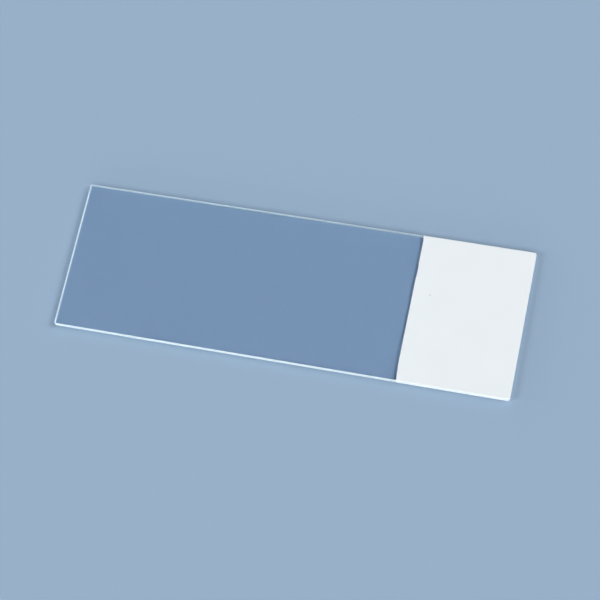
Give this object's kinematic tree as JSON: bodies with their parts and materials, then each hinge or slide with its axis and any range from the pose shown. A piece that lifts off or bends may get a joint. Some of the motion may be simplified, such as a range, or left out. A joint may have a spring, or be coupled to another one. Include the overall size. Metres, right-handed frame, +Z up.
{
  "type": "microscope slide",
  "caption": "Clear glass microscope slide with ground edges and an opaque white marking area that covers one end and the edges there.",
  "frame": {"origin": "middle of the glass plate's underside, on the surface that the slide lies on", "axes": "+X along the slide towards the marking area, +Y across it, +Z up out of the printed face"},
  "size_m": [0.075, 0.025, 0.001],
  "materials": {
    "clear_glass": "clear polished faces, fine-ground matt edges",
    "white_ink": "matt opaque white printed ink film"
  },
  "bodies": {
    "root": {"glass_slide": "clear_glass", "marking_area": "white_ink"}
  },
  "joints": []
}
